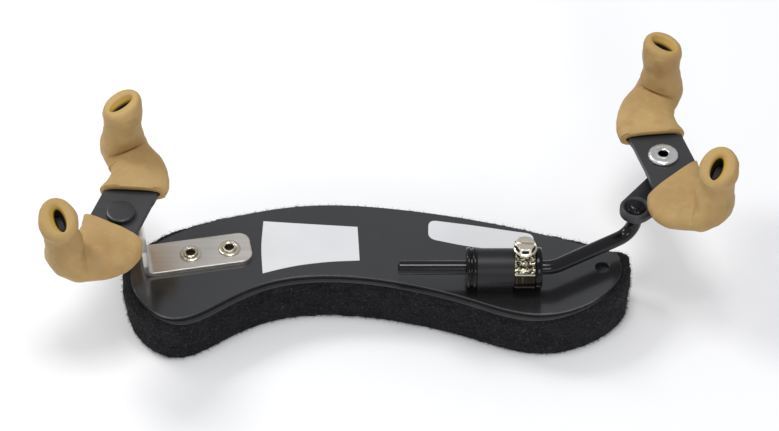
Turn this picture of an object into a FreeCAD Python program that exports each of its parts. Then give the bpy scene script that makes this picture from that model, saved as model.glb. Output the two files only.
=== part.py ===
"""Violin shoulder rest, in millimetres: +X to the right, +Y away from the player's neck, +Z up.

The origin lies on the underside of the foam pad, below the middle of the base plate.
A kidney-shaped steel plate stands on foam. At its left end a bent bracket carries a fork that
swivels on a rivet. At its right a clamped holder lets a bent rod slide and turn, and the rod's
upright end carries a link and a second fork. Rubber sleeves cover the four prongs.
"""
import FreeCAD
import Part
import math
import os

os.makedirs("parts", exist_ok=True)
V = FreeCAD.Vector
UP = V(0, 0, 1)

# Driving dimensions of the base
plate_length = 136.0
plate_depth = 43.0
plate_thickness = 1.5
foam_thickness = 14.7
adhesive_thickness = 0.3
foam_overhang_left = 2.6
foam_overhang_right = 2.6
foam_draw_in_left = 1.6
foam_draw_in_right = 0.6
foam_overhang_sides = 0.5
spare_hole_radius = 2.0

# Driving dimensions of the forks and their sleeves
fork_top = 36.8
fork_thickness = 1.6
fork_width = 14.3
fork_straight = 6.5
blade_offset = 0.7
fold_turn = 50.0
prong_width = 6.8
prong_bend_radius = 1.5
prong_top = 51.0
prong_tip = 1.6
sleeve_top = 54.0
spacer_thickness = 3.0
spacer_radius = 4.4
fork_rivet_radius = 1.9
turning_clearance = 0.05

# Each prong: how far its fold lies outside and along the blade, and its lean. Its sleeve: the lip's
# distance from the rivet, swing and width, how far its side bows out, how far its base bulges
# towards the prong's outside and along the fold, and how far its mouth stands above the lowest one
left_rear_prong = {"end": 1, "out": 6.1, "along": 22.7, "lean": 4, "lip": 8.8, "swing": 6.5, "lip_width": 17.8,
                   "bow": 2.4, "bulge_out": 0.0, "bulge_along": 0.9, "rise": 0.0}
left_front_prong = {"end": -1, "out": 6.4, "along": 18.4, "lean": 1, "lip": 5.2, "swing": 12, "lip_width": 19.6,
                    "bow": 3.6, "bulge_out": -0.8, "bulge_along": 0.0, "rise": 1.0}
right_rear_prong = {"end": 1, "out": 5.6, "along": 23.4, "lean": 6, "lip": 8.0, "swing": 11, "lip_width": 18.4,
                    "bow": 2.4, "bulge_out": 0.0, "bulge_along": 0.8, "rise": 0.0}
right_front_prong = {"end": -1, "out": 4.3, "along": 21.3, "lean": 1, "lip": 8.8, "swing": 26, "lip_width": 21.0,
                     "bow": 3.9, "bulge_out": -0.2, "bulge_along": 0.0, "rise": 1.3}

# Driving dimensions of the left bracket
strip_width = 11.0
strip_thickness = 1.2
tab_width = 9.4
foot_length = 30.4
bracket_turn = 10.5
bracket_bend_radius = 1.4
tubular_rivet_pitch = 10.9

# Driving dimensions of the rod and its holder
rod_radius = 2.0
rod_line = -7.7
rod_tail_end = 5.5
holder_start = 24.2
holder_end = 45.0
holder_radius = 5.35
flange_radius = 5.65
liner_radius = 3.3
band_width = 5.5
band_thickness = 0.6
band_clearance = 0.15
screw_radius = 1.5
screw_head_radius = 3.25
rod_bend_turn = 30.5
rod_bend_radius = 9.0
spigot_radius = 1.6

# Driving dimensions of the link
link_thickness = 1.8
boss_radius = 4.4

# Heights and places that follow from the driving dimensions
plate_bottom = foam_thickness + adhesive_thickness
plate_top = plate_bottom + plate_thickness
foot_top = plate_top + strip_thickness
rod_height = plate_top + band_clearance + band_thickness + holder_radius
fork_bottom = fork_top - fork_thickness
carrier_top = fork_bottom - spacer_thickness
half_length = plate_length / 2
half_depth = plate_depth / 2
left_hub = V(-half_length - 2.0, -1.2, 0)
right_hub = V(half_length + 11.2, 21.5, 0)
rod_bend_start = holder_end + 0.6
upright_place = V(half_length + 3.0, 0, 0)
spare_hole = V(half_length - 5.8, -1.9, 0)


def turned(point, degrees):
    """The point turned about the vertical axis through the origin."""
    angle = math.radians(degrees)
    x = point.x * math.cos(angle) - point.y * math.sin(angle)
    y = point.x * math.sin(angle) + point.y * math.cos(angle)
    return V(x, y, point.z)


def heading(degrees):
    """A level unit direction, counted from +X towards +Y."""
    return turned(V(1, 0, 0), degrees)


def disc(radius, height, place, axis=UP):
    """A cylinder that starts at place."""
    return Part.makeCylinder(radius, height, place, axis)


def at_height(point, z):
    return V(point.x, point.y, z)


def arc(start, middle, end):
    return Part.Arc(start, middle, end).toShape()


def line(start, end):
    return Part.LineSegment(start, end).toShape()


def prism(edges, bottom, height):
    """A solid that stands on a closed flat outline."""
    face = Part.Face(Part.Wire(edges))
    face.translate(V(0, 0, bottom))
    return face.extrude(V(0, 0, height))


def spun(profile, place, axis=UP):
    """A solid of revolution from (radius, height) corners, placed with its axis on place."""
    corners = [V(radius, 0, height) for radius, height in profile]
    face = Part.Face(Part.makePolygon(corners + [corners[0]]))
    solid = face.revolve(V(0, 0, 0), UP, 360)
    solid.Placement = FreeCAD.Placement(place, FreeCAD.Rotation(UP, axis))
    return solid


def export(name, *solids):
    shape = solids[0] if len(solids) == 1 else Part.makeCompound(list(solids))
    shape.exportStep("parts/" + name + ".step")
    print(name, "volume", round(shape.Volume, 1), "valid", shape.isValid())


def kidney(grow_left, grow_right, grow_sides):
    """The closed kidney outline: one flowing curve, and the squarer right end from two arcs."""
    flow = [(0.934, 0.195), (0.668, 0.507), (0.381, 0.767), (0.044, 0.967), (-0.263, 1.023),
            (-0.615, 0.800), (-0.882, 0.409), (-0.999, -0.047), (-0.974, -0.581), (-0.809, -0.963),
            (-0.632, -0.690), (-0.441, -0.344), (-0.220, -0.228), (0.074, -0.335), (0.368, -0.628),
            (0.653, -0.898), (0.843, -0.712), (0.956, -0.400)]
    end_arcs = [(0.991, -0.170), (0.990, 0.028), (0.978, 0.150)]

    def place(u, v):
        wide = half_length + (grow_right if u > 0 else grow_left)
        return V(u * wide, v * half_depth + math.copysign(grow_sides, v), 0)

    curve = Part.BSplineCurve()
    curve.interpolate([place(u, v) for u, v in flow])
    low, side, corner = [place(u, v) for u, v in end_arcs]
    first, last = place(*flow[0]), place(*flow[-1])
    return [curve.toShape(), arc(last, low, side), arc(side, corner, first)]


def make_base_plate():
    plate = prism(kidney(0, 0, 0), plate_bottom, plate_thickness)
    holes = [disc(spare_hole_radius, plate_thickness, at_height(spare_hole, plate_bottom))]
    for place in tubular_rivet_places():
        holes.append(disc(1.8, plate_thickness, at_height(place, plate_bottom)))
    for place in saddle_rivet_places():
        holes.append(disc(1.2, plate_thickness, at_height(place, plate_bottom)))
    return plate.cut(holes)


def make_adhesive():
    return prism(kidney(-1.0, -1.0, -1.0), foam_thickness, adhesive_thickness)


def make_foam():
    """The pad: flat above and below, its ends drawn in towards the bottom."""
    low_left, low_right = foam_overhang_left - foam_draw_in_left, foam_overhang_right - foam_draw_in_right
    low = Part.Wire(kidney(low_left, low_right, foam_overhang_sides))
    high = Part.Wire(kidney(foam_overhang_left, foam_overhang_right, foam_overhang_sides))
    high.translate(V(0, 0, foam_thickness))
    return Part.makeLoft([low, high], True, True)


# Left bracket: foot on the plate, leg up, tab out under the fork

def bracket_point(along, height):
    """A point on the bracket's middle line, counted outwards from the fork's rivet."""
    spot = left_hub + heading(bracket_turn) * along
    return at_height(spot, height)


leg_place = 4.7


def tubular_rivet_places():
    first = left_hub + heading(bracket_turn) * 18.2
    return [first, first + heading(bracket_turn) * tubular_rivet_pitch]


def bracket_profile():
    """The bent strip seen from its side, as a closed outline in (along, height)."""
    thick = strip_thickness
    inner = bracket_bend_radius
    outer = inner + thick
    low, high = plate_top, carrier_top
    foot_end = leg_place + foot_length
    tab_end = -tab_width / 2
    diagonal = math.sqrt(0.5)

    def p(along, height):
        return bracket_point(along, height)

    foot_bend = (leg_place + outer, low + outer)
    tab_bend = (leg_place - inner, high - outer)
    return [
        line(p(foot_end, low), p(foot_bend[0], low)),
        arc(p(foot_bend[0], low),
            p(foot_bend[0] - outer * diagonal, foot_bend[1] - outer * diagonal),
            p(leg_place, foot_bend[1])),
        line(p(leg_place, foot_bend[1]), p(leg_place, tab_bend[1])),
        arc(p(leg_place, tab_bend[1]),
            p(tab_bend[0] + inner * diagonal, tab_bend[1] + inner * diagonal),
            p(tab_bend[0], high - thick)),
        line(p(tab_bend[0], high - thick), p(tab_end, high - thick)),
        line(p(tab_end, high - thick), p(tab_end, high)),
        line(p(tab_end, high), p(tab_bend[0], high)),
        arc(p(tab_bend[0], high),
            p(tab_bend[0] + outer * diagonal, tab_bend[1] + outer * diagonal),
            p(leg_place + thick, tab_bend[1])),
        line(p(leg_place + thick, tab_bend[1]), p(leg_place + thick, foot_bend[1])),
        arc(p(leg_place + thick, foot_bend[1]),
            p(foot_bend[0] - inner * diagonal, foot_bend[1] - inner * diagonal),
            p(foot_bend[0], low + thick)),
        line(p(foot_bend[0], low + thick), p(foot_end, low + thick)),
        line(p(foot_end, low + thick), p(foot_end, low)),
    ]


def bracket_plan(across, along_end, tip_radius, height, rise):
    """A strip in plan whose far end has clipped round corners, used to trim the bent strip."""
    side = heading(bracket_turn + 90)
    half = across / 2
    start = bracket_point(leg_place - 1.5, 0)
    end = bracket_point(along_end, 0)
    inward = heading(bracket_turn) * math.copysign(tip_radius, leg_place - along_end)
    near = [start - side * half, start + side * half]
    far = [end + inward + side * half, end + side * (half - tip_radius)]
    back = [end - side * (half - tip_radius), end + inward - side * half]
    outward = inward * -math.sqrt(0.5)
    swell = math.sqrt(0.5) * tip_radius
    far_middle = end + inward + side * (half - tip_radius + swell) + outward
    back_middle = end + inward - side * (half - tip_radius + swell) + outward
    edges = [line(near[0], near[1]), line(near[1], far[0]), arc(far[0], far_middle, far[1])]
    if half - tip_radius > 0.01:
        edges.append(line(far[1], back[0]))
    edges += [arc(back[0], back_middle, back[1]), line(back[1], near[0])]
    return prism(edges, height, rise)


def make_left_bracket():
    face = Part.Face(Part.Wire(bracket_profile()))
    side = heading(bracket_turn + 90)
    face.translate(side * (-strip_width / 2))
    strip = face.extrude(side * strip_width)
    foot = strip.common(bracket_plan(strip_width, leg_place + foot_length, 3.2, plate_top, 4.0))
    corner = (strip_width - tab_width) / 2
    side_low = bracket_point(0, plate_top + 4.0)
    reach = heading(bracket_turn) * (leg_place + 4.0)
    back = heading(bracket_turn) * (-tab_width / 2)
    leg_outline = [side_low + back - side * (tab_width / 2), side_low + back + side * (tab_width / 2),
                   side_low + reach + side * (tab_width / 2), side_low + reach - side * (tab_width / 2)]
    leg_zone = Part.Face(Part.makePolygon(leg_outline + [leg_outline[0]]))
    leg_zone = leg_zone.extrude(V(0, 0, carrier_top - side_low.z))
    tab_round = disc(tab_width / 2, 4.0, bracket_point(0, carrier_top - 3.0))
    tab_zone = leg_zone.cut(end_trim(side))
    leg = strip.common(tab_zone.fuse(tab_round))
    skirt = taper_zone(side, corner, side_low.z)
    leg = leg.fuse(strip.common(skirt))
    bracket = foot.fuse(leg).removeSplitter()
    holes = [disc(1.75, 4.0, at_height(place, plate_top - 1.0)) for place in tubular_rivet_places()]
    holes.append(disc(fork_rivet_radius, 4.0, bracket_point(0, carrier_top - 3.0)))
    return bracket.cut(holes)


def end_trim(side):
    """The block beyond the rivet, where the tab's end is round."""
    start = bracket_point(0, carrier_top - 3.0)
    out = heading(bracket_turn) * (-tab_width)
    half = side * tab_width
    outline = [start - half, start + half, start + half + out, start - half + out]
    block = Part.Face(Part.makePolygon(outline + [outline[0]]))
    return block.extrude(V(0, 0, 4.0))


def taper_zone(side, corner, height):
    """The leg's sloping shoulders, from the foot's width to the tab's."""
    rise = 5.0
    start = bracket_point(leg_place - 0.5, height)
    wide = side * (tab_width / 2 + corner)
    narrow = side * (tab_width / 2)
    lift = V(0, 0, rise)
    outline = [start - wide, start + wide, start + narrow + lift, start - narrow + lift]
    block = Part.Face(Part.makePolygon(outline + [outline[0]]))
    return block.extrude(heading(bracket_turn) * (strip_thickness + 1.0))


def make_bracket_rivets():
    """Two hollow rivets: rolled flange on the foot, shank through foot and plate."""
    hollow = 1.25
    shank = 1.75
    flange = 3.1
    top = foot_top
    rivets = []
    for place in tubular_rivet_places():
        outline = [(hollow, plate_bottom), (shank, plate_bottom), (shank, top), (flange, top),
                   (flange, top + 0.35), (flange - 0.5, top + 0.8), (hollow + 0.5, top + 0.8),
                   (hollow, top + 0.35)]
        rivets.append(spun(outline, place))
    return rivets


# Forks, sleeves and what they turn on

def fold_frame(prong):
    """Fold place, the prong's heading and the fold line, in the fork's own frame."""
    end = prong["end"]
    out = heading(end * (90 + fold_turn))
    return V(-prong["out"], end * prong["along"], 0), out, turned(out, 90 * end)


def blade_side(prong):
    """Outer and inner edge of one arm: round outer shoulder, fold line, straight inner edge."""
    end = prong["end"]
    half = fork_width / 2
    place, _, fold = fold_frame(prong)
    inner = place + fold * (prong_width / 2)
    outer = place - fold * (prong_width / 2)
    shoulder = V(half - blade_offset, end * fork_straight, 0)
    waist = V(-half - blade_offset, end * fork_straight, 0)
    chord = shoulder - outer
    bulge = (shoulder + outer) * 0.5 + V(1, end * 0.6, 0).normalize() * (chord.Length * 0.17)
    return [line(waist, inner), line(inner, outer), arc(outer, bulge, shoulder)], shoulder, waist


def fork_outline(rear_prong, front_prong):
    """The flat blade, with its hub part straight on both sides."""
    rear, rear_shoulder, rear_waist = blade_side(rear_prong)
    front, front_shoulder, front_waist = blade_side(front_prong)
    middle = [line(rear_shoulder, front_shoulder), line(rear_waist, front_waist)]
    return Part.__sortEdges__(rear + front + middle)


def make_prong(prong):
    """One end of the blade bent up, with a round tip."""
    place, out, fold = fold_frame(prong)
    turn = 90 - prong["lean"]
    half = prong_width / 2
    base = at_height(place, fork_bottom)
    section = [base - fold * half, base + fold * half, base + fold * half + UP * fork_thickness,
               base - fold * half + UP * fork_thickness]
    face = Part.Face(Part.makePolygon(section + [section[0]]))
    axis_place = base + UP * (fork_thickness + prong_bend_radius)
    axis = out.cross(UP)
    bend = face.revolve(axis_place, axis, turn)
    straight = prong_top - fork_top - prong_bend_radius - prong_tip
    far = base + out * straight
    edges = [line(base - fold * half, base + fold * half), line(base + fold * half, far + fold * half),
             arc(far + fold * half, far + out * prong_tip, far - fold * half),
             line(far - fold * half, base - fold * half)]
    blade = Part.Face(Part.Wire(edges)).extrude(UP * fork_thickness)
    blade.rotate(axis_place, axis, turn)
    return bend.fuse(blade)


def make_fork(rear_prong, front_prong):
    blade = prism(fork_outline(rear_prong, front_prong), fork_bottom, fork_thickness)
    blade = blade.fuse([make_prong(rear_prong), make_prong(front_prong)]).removeSplitter()
    hole = disc(fork_rivet_radius + turning_clearance, fork_thickness, V(0, 0, fork_bottom))
    return blade.cut(hole)


def oval(place, direction, across, wide, tall):
    """A closed oval of four arcs, square to direction, its long axis along across."""
    short_axis = direction.cross(across)
    short_axis.normalize()

    def rim(degrees):
        angle = math.radians(degrees)
        return place + across * (wide * math.cos(angle)) + short_axis * (tall * math.sin(angle))

    quarters = [arc(rim(start), rim(start + 45), rim(start + 90)) for start in (0, 90, 180, 270)]
    return Part.Wire(quarters)


def make_flat_run(prong):
    """The rubber pressed flat over the blade, from its open lip to the fold."""
    place, out, fold = fold_frame(prong)
    end = prong["end"]
    swing = prong["swing"]
    half = prong["lip_width"] / 2
    middle = (fork_top + fork_bottom) / 2
    lip_place = V(-0.3, end * prong["lip"], 0)
    last_swing = fold_turn - 12
    # Share of the way to the fold, half width, half height
    stations = [(0.0, half, 2.6), (0.12, half + 0.1, 3.0), (0.5, half - 0.6, 3.4), (0.8, half - 1.0, 4.2)]
    sections = []
    for share, wide, tall in stations:
        direction = heading(end * (90 + swing + (last_swing - swing) * share ** 1.5))
        bow = heading(end * (swing + 10)) * (prong["bow"] * math.sin(math.pi * share))
        spot = lip_place + (place - lip_place) * share + bow
        sections.append(oval(at_height(spot, middle), direction, turned(direction, 90 * end), wide, tall))
    sections.append(oval(at_height(place + out * 2.5, middle), out, fold, 5.8, 4.0))
    return Part.makeLoft(sections, True, False)


def upright_frame(prong):
    """Foot of the prong's middle line and the direction it leans in."""
    place, out, fold = fold_frame(prong)
    lean = math.radians(prong["lean"])
    upright = UP * math.cos(lean) + out * math.sin(lean)
    foot = place + out * (prong_bend_radius + fork_thickness / 2)
    return at_height(foot, (fork_top + fork_bottom) / 2), upright, fold


def make_upright_run(prong):
    """The rubber round the prong: a bulge at the fold, a waist, and a rounded mouth."""
    foot, upright, fold = upright_frame(prong)
    top = (sleeve_top + prong["rise"] - foot.z) / upright.z
    bulge = turned(fold, -90 * prong["end"]) * prong["bulge_out"] + fold * prong["bulge_along"]
    # Height above the blade, half width, half depth, share of the bulge
    stations = [(-3.9, 4.6, 3.8, 0.5), (-2.2, 6.0, 5.2, 1.0), (1.5, 6.5, 5.9, 1.0), (5.5, 6.0, 5.6, 0.9),
                (9.5, 5.2, 4.9, 0.3), (top - 4.5, 5.6, 5.2, -0.4), (top - 1.2, 5.4, 5.0, -0.4),
                (top, 4.8, 4.2, -0.4)]
    sections = [oval(foot + upright * rise + bulge * share, upright, fold, wide, tall)
                for rise, wide, tall, share in stations]
    return Part.makeLoft(sections, True, False)


def make_sleeve(fork, prong):
    """A rubber tube pressed flat over the blade and round on the prong, open at its mouth."""
    foot, upright, fold = upright_frame(prong)
    body = make_flat_run(prong).fuse(make_upright_run(prong)).removeSplitter()
    lift = (sleeve_top + prong["rise"] - foot.z + 1.0) / upright.z
    depth = sleeve_top + prong["rise"] - prong_top + 6.0
    mouth = Part.Face(oval(foot + upright * lift, upright, fold, 3.8, 2.3))
    return body.cut([fork, mouth.extrude(upright * -depth)])


def place_foot(shape, hub, turn, mirrored):
    placed = shape.copy()
    if mirrored:
        placed = placed.mirror(V(0, 0, 0), V(1, 0, 0))
    placed.rotate(V(0, 0, 0), UP, turn)
    placed.translate(hub)
    return placed


def make_fork_rivet(hub, carrier_thickness, head_radius, head_height, hollow):
    """Rivet from under the carrier to the head on the fork, with a domed or hollow head."""
    foot = carrier_top - carrier_thickness
    shank = fork_rivet_radius
    edge = head_height * 0.45
    outline = [(hollow, foot - 0.7), (shank + 1.1, foot - 0.7), (shank + 1.1, foot), (shank, foot),
               (shank, fork_top), (head_radius, fork_top), (head_radius, fork_top + edge),
               (head_radius - 1.0, fork_top + head_height), (hollow, fork_top + head_height)]
    return spun(outline, hub)


def make_spacer(hub):
    ring = disc(spacer_radius, spacer_thickness, at_height(hub, carrier_top))
    return ring.cut(disc(fork_rivet_radius, spacer_thickness, at_height(hub, carrier_top)))


# Holder on the plate, with the clamp that grips it

ALONG = V(1, 0, 0)
axis_start = V(0, rod_line, rod_height)
cap_length = 3.0
flange_length = 2.0
sleeve_start = holder_start + cap_length
sleeve_end = holder_end - flange_length
band_middle = sleeve_end - 0.1 - band_width / 2


def saddle_rivet_places():
    return [V(sleeve_start + 2.4, rod_line, 0), V(sleeve_start + 7.6, rod_line, 0)]


def on_axis(x):
    return V(x, rod_line, rod_height)


def tube(outer, inner, start, end):
    ring = disc(outer, end - start, on_axis(start), ALONG)
    return ring.cut(disc(inner, end - start, on_axis(start), ALONG))


def make_holder_sleeve():
    body = tube(holder_radius, liner_radius + turning_clearance, sleeve_start, sleeve_end)
    well = disc(screw_radius + 0.1, 9.0, V(band_middle, rod_line, rod_height))
    return body.cut(well)


def make_holder_saddle():
    """A cradle between plate and holder, clear of the clamp band."""
    wide = 7.0
    start = sleeve_start
    end = band_middle - band_width / 2 - 0.3
    block = Part.makeBox(end - start, wide, rod_height - plate_top, V(start, rod_line - wide / 2, plate_top))
    block = block.cut(disc(holder_radius, end - start, on_axis(start), ALONG))
    block = block.common(Part.makeBox(end - start, wide, 2.2, V(start, rod_line - wide / 2, plate_top)))
    holes = [disc(1.2, 3.0, at_height(place, plate_top)) for place in saddle_rivet_places()]
    return block.cut(holes)


def make_saddle_rivets():
    """Flush rivets through plate and cradle."""
    top = rod_height - holder_radius
    return [disc(1.2, top - plate_bottom, at_height(place, plate_bottom)) for place in saddle_rivet_places()]


def make_rod_liner():
    liner = tube(liner_radius, rod_radius + turning_clearance, holder_start, holder_end)
    flange = tube(flange_radius, liner_radius, sleeve_end, holder_end)
    return liner.fuse(flange).removeSplitter()


def make_liner_cap():
    """The left flange: two rings with a groove between them."""
    cap = tube(flange_radius, liner_radius, holder_start, sleeve_start)
    groove = tube(flange_radius + 1, flange_radius - 0.5, holder_start + 1.2, holder_start + 1.8)
    return cap.cut(groove)


nut_top = rod_height + holder_radius + band_thickness + 1.5


def make_clamp_band():
    start = band_middle - band_width / 2
    band = tube(holder_radius + band_thickness, holder_radius, start, start + band_width)
    return band.cut(disc(screw_radius + 0.1, 9.0, V(band_middle, rod_line, rod_height)))


def make_clamp_nut():
    side = 6.0
    low = rod_height + 4.0
    block = Part.makeBox(side - 0.6, side, nut_top - low, V(band_middle - side / 2 + 0.3, rod_line - side / 2, low))
    block = block.cut(disc(holder_radius + band_thickness, side, on_axis(band_middle - side / 2), ALONG))
    return block.cut(disc(screw_radius + turning_clearance, 9.0, V(band_middle, rod_line, rod_height)))


def make_clamp_screw():
    """Slotted cheese-head screw with a short hexagon under the head."""
    head_height = 2.3
    tip = rod_height + liner_radius + 0.3
    place = V(band_middle, rod_line, 0)
    outline = [(0, tip), (screw_radius, tip), (screw_radius, nut_top), (screw_head_radius, nut_top),
               (screw_head_radius, nut_top + head_height - 0.5),
               (screw_head_radius - 0.7, nut_top + head_height), (0, nut_top + head_height)]
    screw = spun(outline, place)
    slot = Part.makeBox(9.0, 0.9, 1.2, V(-4.5, -0.45, nut_top + head_height - 0.9))
    slot.rotate(V(0, 0, 0), UP, -6)
    slot.translate(place)
    return screw.cut(slot)


# Bent rod, link and what holds them together

def rod_corner():
    return rod_bend_start + rod_bend_radius * math.tan(math.radians(rod_bend_turn / 2))


def upright_foot():
    """Where the sloping run reaches the upright's line."""
    run = (upright_place.x - rod_corner()) * math.tan(math.radians(rod_bend_turn))
    return V(upright_place.x, rod_line + run, rod_height)


upright_bend_radius = 5.0
washer_thickness = 0.7
shoulder = carrier_top - link_thickness - washer_thickness


def make_bent_rod():
    """Round bar: straight tail, bend in plan, sloping run, bend upwards, upright with a spigot."""
    start = on_axis(rod_tail_end)
    first = on_axis(rod_bend_start)
    out = heading(rod_bend_turn)
    corner = on_axis(rod_corner())
    tangent = rod_corner() - rod_bend_start
    second = corner + out * tangent
    half = math.radians(rod_bend_turn / 2)
    centre = first + V(0, rod_bend_radius, 0)
    middle = centre + V(math.sin(half), -math.cos(half), 0) * rod_bend_radius
    foot = upright_foot()
    third = foot - out * upright_bend_radius
    fourth = foot + UP * upright_bend_radius
    lift_centre = third + UP * upright_bend_radius
    lift_middle = lift_centre + (out - UP) * (upright_bend_radius * math.sqrt(0.5))
    top = at_height(foot, shoulder)
    path = Part.Wire([line(start, first), arc(first, middle, second), line(second, third),
                      arc(third, lift_middle, fourth), line(fourth, top)])
    section = Part.Wire(Part.makeCircle(rod_radius, start, ALONG))
    rod = path.makePipeShell([section], True, False)
    spigot = disc(spigot_radius, cap_top - 0.3 - shoulder, top)
    rod = rod.fuse(spigot).removeSplitter()
    chamfered = [edge for edge in rod.Edges if edge.BoundBox.XMax < rod_tail_end + 0.01]
    return rod.makeChamfer(0.5, chamfered)


cap_bottom = carrier_top
cap_top = carrier_top + 1.0


def make_link_washer():
    place = at_height(upright_foot(), shoulder)
    ring = disc(rod_radius + 1.4, washer_thickness, place)
    return ring.cut(disc(spigot_radius, washer_thickness, place))


def make_link_cap():
    """Domed cap pressed on the spigot above the link."""
    inner = spigot_radius
    outline = [(inner, cap_bottom), (2.6, cap_bottom), (2.6, cap_bottom + 0.5), (1.9, cap_top - 0.05),
               (1.0, cap_top), (0, cap_top), (0, cap_top - 0.3), (inner, cap_top - 0.3)]
    return spun(outline, at_height(upright_foot(), 0))


def hull_of_two(first, first_radius, second, second_radius, bottom, height):
    """Two discs and the four-sided web between their outer tangents."""
    gap = second - first
    gap.z = 0
    base = math.degrees(math.atan2(gap.y, gap.x))
    flare = math.degrees(math.asin((first_radius - second_radius) / gap.Length))
    left, right = heading(base + 90 - flare), heading(base - 90 + flare)
    corners = [first + left * first_radius, second + left * second_radius,
               second + right * second_radius, first + right * first_radius]
    corners = [at_height(corner, bottom) for corner in corners]
    web = Part.Face(Part.makePolygon(corners + [corners[0]])).extrude(V(0, 0, height))
    discs = [disc(first_radius, height, at_height(first, bottom)),
             disc(second_radius, height, at_height(second, bottom))]
    return web.fuse(discs)


def make_pivot_link():
    """Flat link: round boss on the rod, a knee on its outer side and a wider eye at the fork."""
    boss = upright_foot()
    bottom = carrier_top - link_thickness
    knee = boss + heading(40) * 12.0 + heading(-50) * 1.4
    eye = at_height(right_hub, 0)
    body = hull_of_two(boss, boss_radius, knee, 3.0, bottom, link_thickness)
    body = body.fuse([hull_of_two(boss, boss_radius, eye, 1.2, bottom, link_thickness),
                      hull_of_two(knee, 3.0, eye, 6.0, bottom, link_thickness)]).removeSplitter()
    rim = disc(boss_radius - 0.3, 0.5, at_height(boss, carrier_top))
    rim = rim.cut(disc(boss_radius - 1.2, 0.5, at_height(boss, carrier_top)))
    body = body.fuse(rim).removeSplitter()
    holes = [disc(spigot_radius + turning_clearance, 4.0, at_height(boss, bottom)),
             disc(fork_rivet_radius, 4.0, at_height(eye, bottom))]
    return body.cut(holes)


left_turn = -18.0
right_turn = 16.5
left_fork = make_fork(left_rear_prong, left_front_prong)
right_fork = make_fork(right_rear_prong, right_front_prong)
left_rear = make_sleeve(left_fork, left_rear_prong)
left_front = make_sleeve(left_fork, left_front_prong)
right_rear = make_sleeve(right_fork, right_rear_prong)
right_front = make_sleeve(right_fork, right_front_prong)

export("base_plate", make_base_plate())
export("adhesive_sheet", make_adhesive())
export("foam_pad", make_foam())
export("left_bracket", make_left_bracket())
export("bracket_rivets", *make_bracket_rivets())
export("left_fork_rivet", make_fork_rivet(left_hub, strip_thickness, 4.0, 1.5, 0))
export("left_fork_spacer", make_spacer(left_hub))
export("left_fork", place_foot(left_fork, left_hub, left_turn, False))
export("left_rear_sleeve", place_foot(left_rear, left_hub, left_turn, False))
export("left_front_sleeve", place_foot(left_front, left_hub, left_turn, False))
export("holder_saddle", make_holder_saddle())
export("saddle_rivets", *make_saddle_rivets())
export("holder_sleeve", make_holder_sleeve())
export("rod_liner", make_rod_liner())
export("liner_cap", make_liner_cap())
export("clamp_band", make_clamp_band())
export("clamp_nut", make_clamp_nut())
export("clamp_screw", make_clamp_screw())
export("bent_rod", make_bent_rod())
export("link_washer", make_link_washer())
export("link_cap", make_link_cap())
export("pivot_link", make_pivot_link())
export("right_fork_rivet", make_fork_rivet(right_hub, link_thickness, 4.25, 1.2, 1.4))
export("right_fork_spacer", make_spacer(right_hub))
export("right_fork", place_foot(right_fork, right_hub, right_turn, True))
export("right_rear_sleeve", place_foot(right_rear, right_hub, right_turn, True))
export("right_front_sleeve", place_foot(right_front, right_hub, right_turn, True))
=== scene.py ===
"""Violin shoulder rest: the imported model, dressed with its real surfaces.

Lengths written in millimetres go through mm(); everything in Blender is in metres.
"""
import math
import bmesh
import bpy
from mathutils import Matrix, Vector, noise
from mathutils.bvhtree import BVHTree


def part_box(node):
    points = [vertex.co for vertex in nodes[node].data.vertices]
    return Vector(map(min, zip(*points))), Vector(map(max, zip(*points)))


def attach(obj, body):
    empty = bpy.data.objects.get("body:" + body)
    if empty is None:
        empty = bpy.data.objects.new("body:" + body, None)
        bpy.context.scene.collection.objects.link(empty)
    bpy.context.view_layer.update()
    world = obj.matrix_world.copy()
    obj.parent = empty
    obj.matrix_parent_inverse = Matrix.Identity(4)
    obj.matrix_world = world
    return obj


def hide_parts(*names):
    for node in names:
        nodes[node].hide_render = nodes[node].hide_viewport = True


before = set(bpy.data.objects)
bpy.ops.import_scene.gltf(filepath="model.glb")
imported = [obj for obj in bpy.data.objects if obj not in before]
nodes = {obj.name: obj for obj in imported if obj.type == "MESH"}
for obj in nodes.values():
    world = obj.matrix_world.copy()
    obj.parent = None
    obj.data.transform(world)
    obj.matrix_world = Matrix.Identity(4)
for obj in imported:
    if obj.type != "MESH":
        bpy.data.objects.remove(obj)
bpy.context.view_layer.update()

MM = 0.001
UP = Vector((0, 0, 1))
DENT_SEED = 4  # noise_vector's offsets come from the clock unless they are seeded
noise.seed_set(DENT_SEED)


def mm(*values):
    return Vector(values) * MM


def put(name, data):
    """An object in the scene that holds that data."""
    thing = bpy.data.objects.new(name, data)
    bpy.context.collection.objects.link(thing)
    return thing


def mesh_of(shape, name):
    """The mesh of a finished piece of bmesh work."""
    mesh = bpy.data.meshes.new(name)
    shape.to_mesh(mesh)
    shape.free()
    return mesh


# Camera and light

LAMPS = [("left_window", (-0.46, 0.30, 0.58), 0.22, 2.3), ("overhead_box", (0.02, -0.06, 1.0), 0.32, 3.4),
         ("front_strip", (0.22, -0.95, 0.50), 0.3, 1.7)]
LAMP_AIM = Vector((0, 0, 0.02))
FLOOR_REACH = 3.0

def place_camera():
    """The photograph's view: from the front, 46 degrees above the table, 800 mm away."""
    lens = bpy.data.cameras.new("camera")
    lens.lens = 131.0
    lens.sensor_width = 36.0
    lens.clip_start = 0.01
    camera = put("camera", lens)
    camera.location = mm(3.2, -537.7, 592.0)
    camera.rotation_euler = (math.radians(44.0), 0, 0)
    bpy.context.scene.camera = camera


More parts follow.
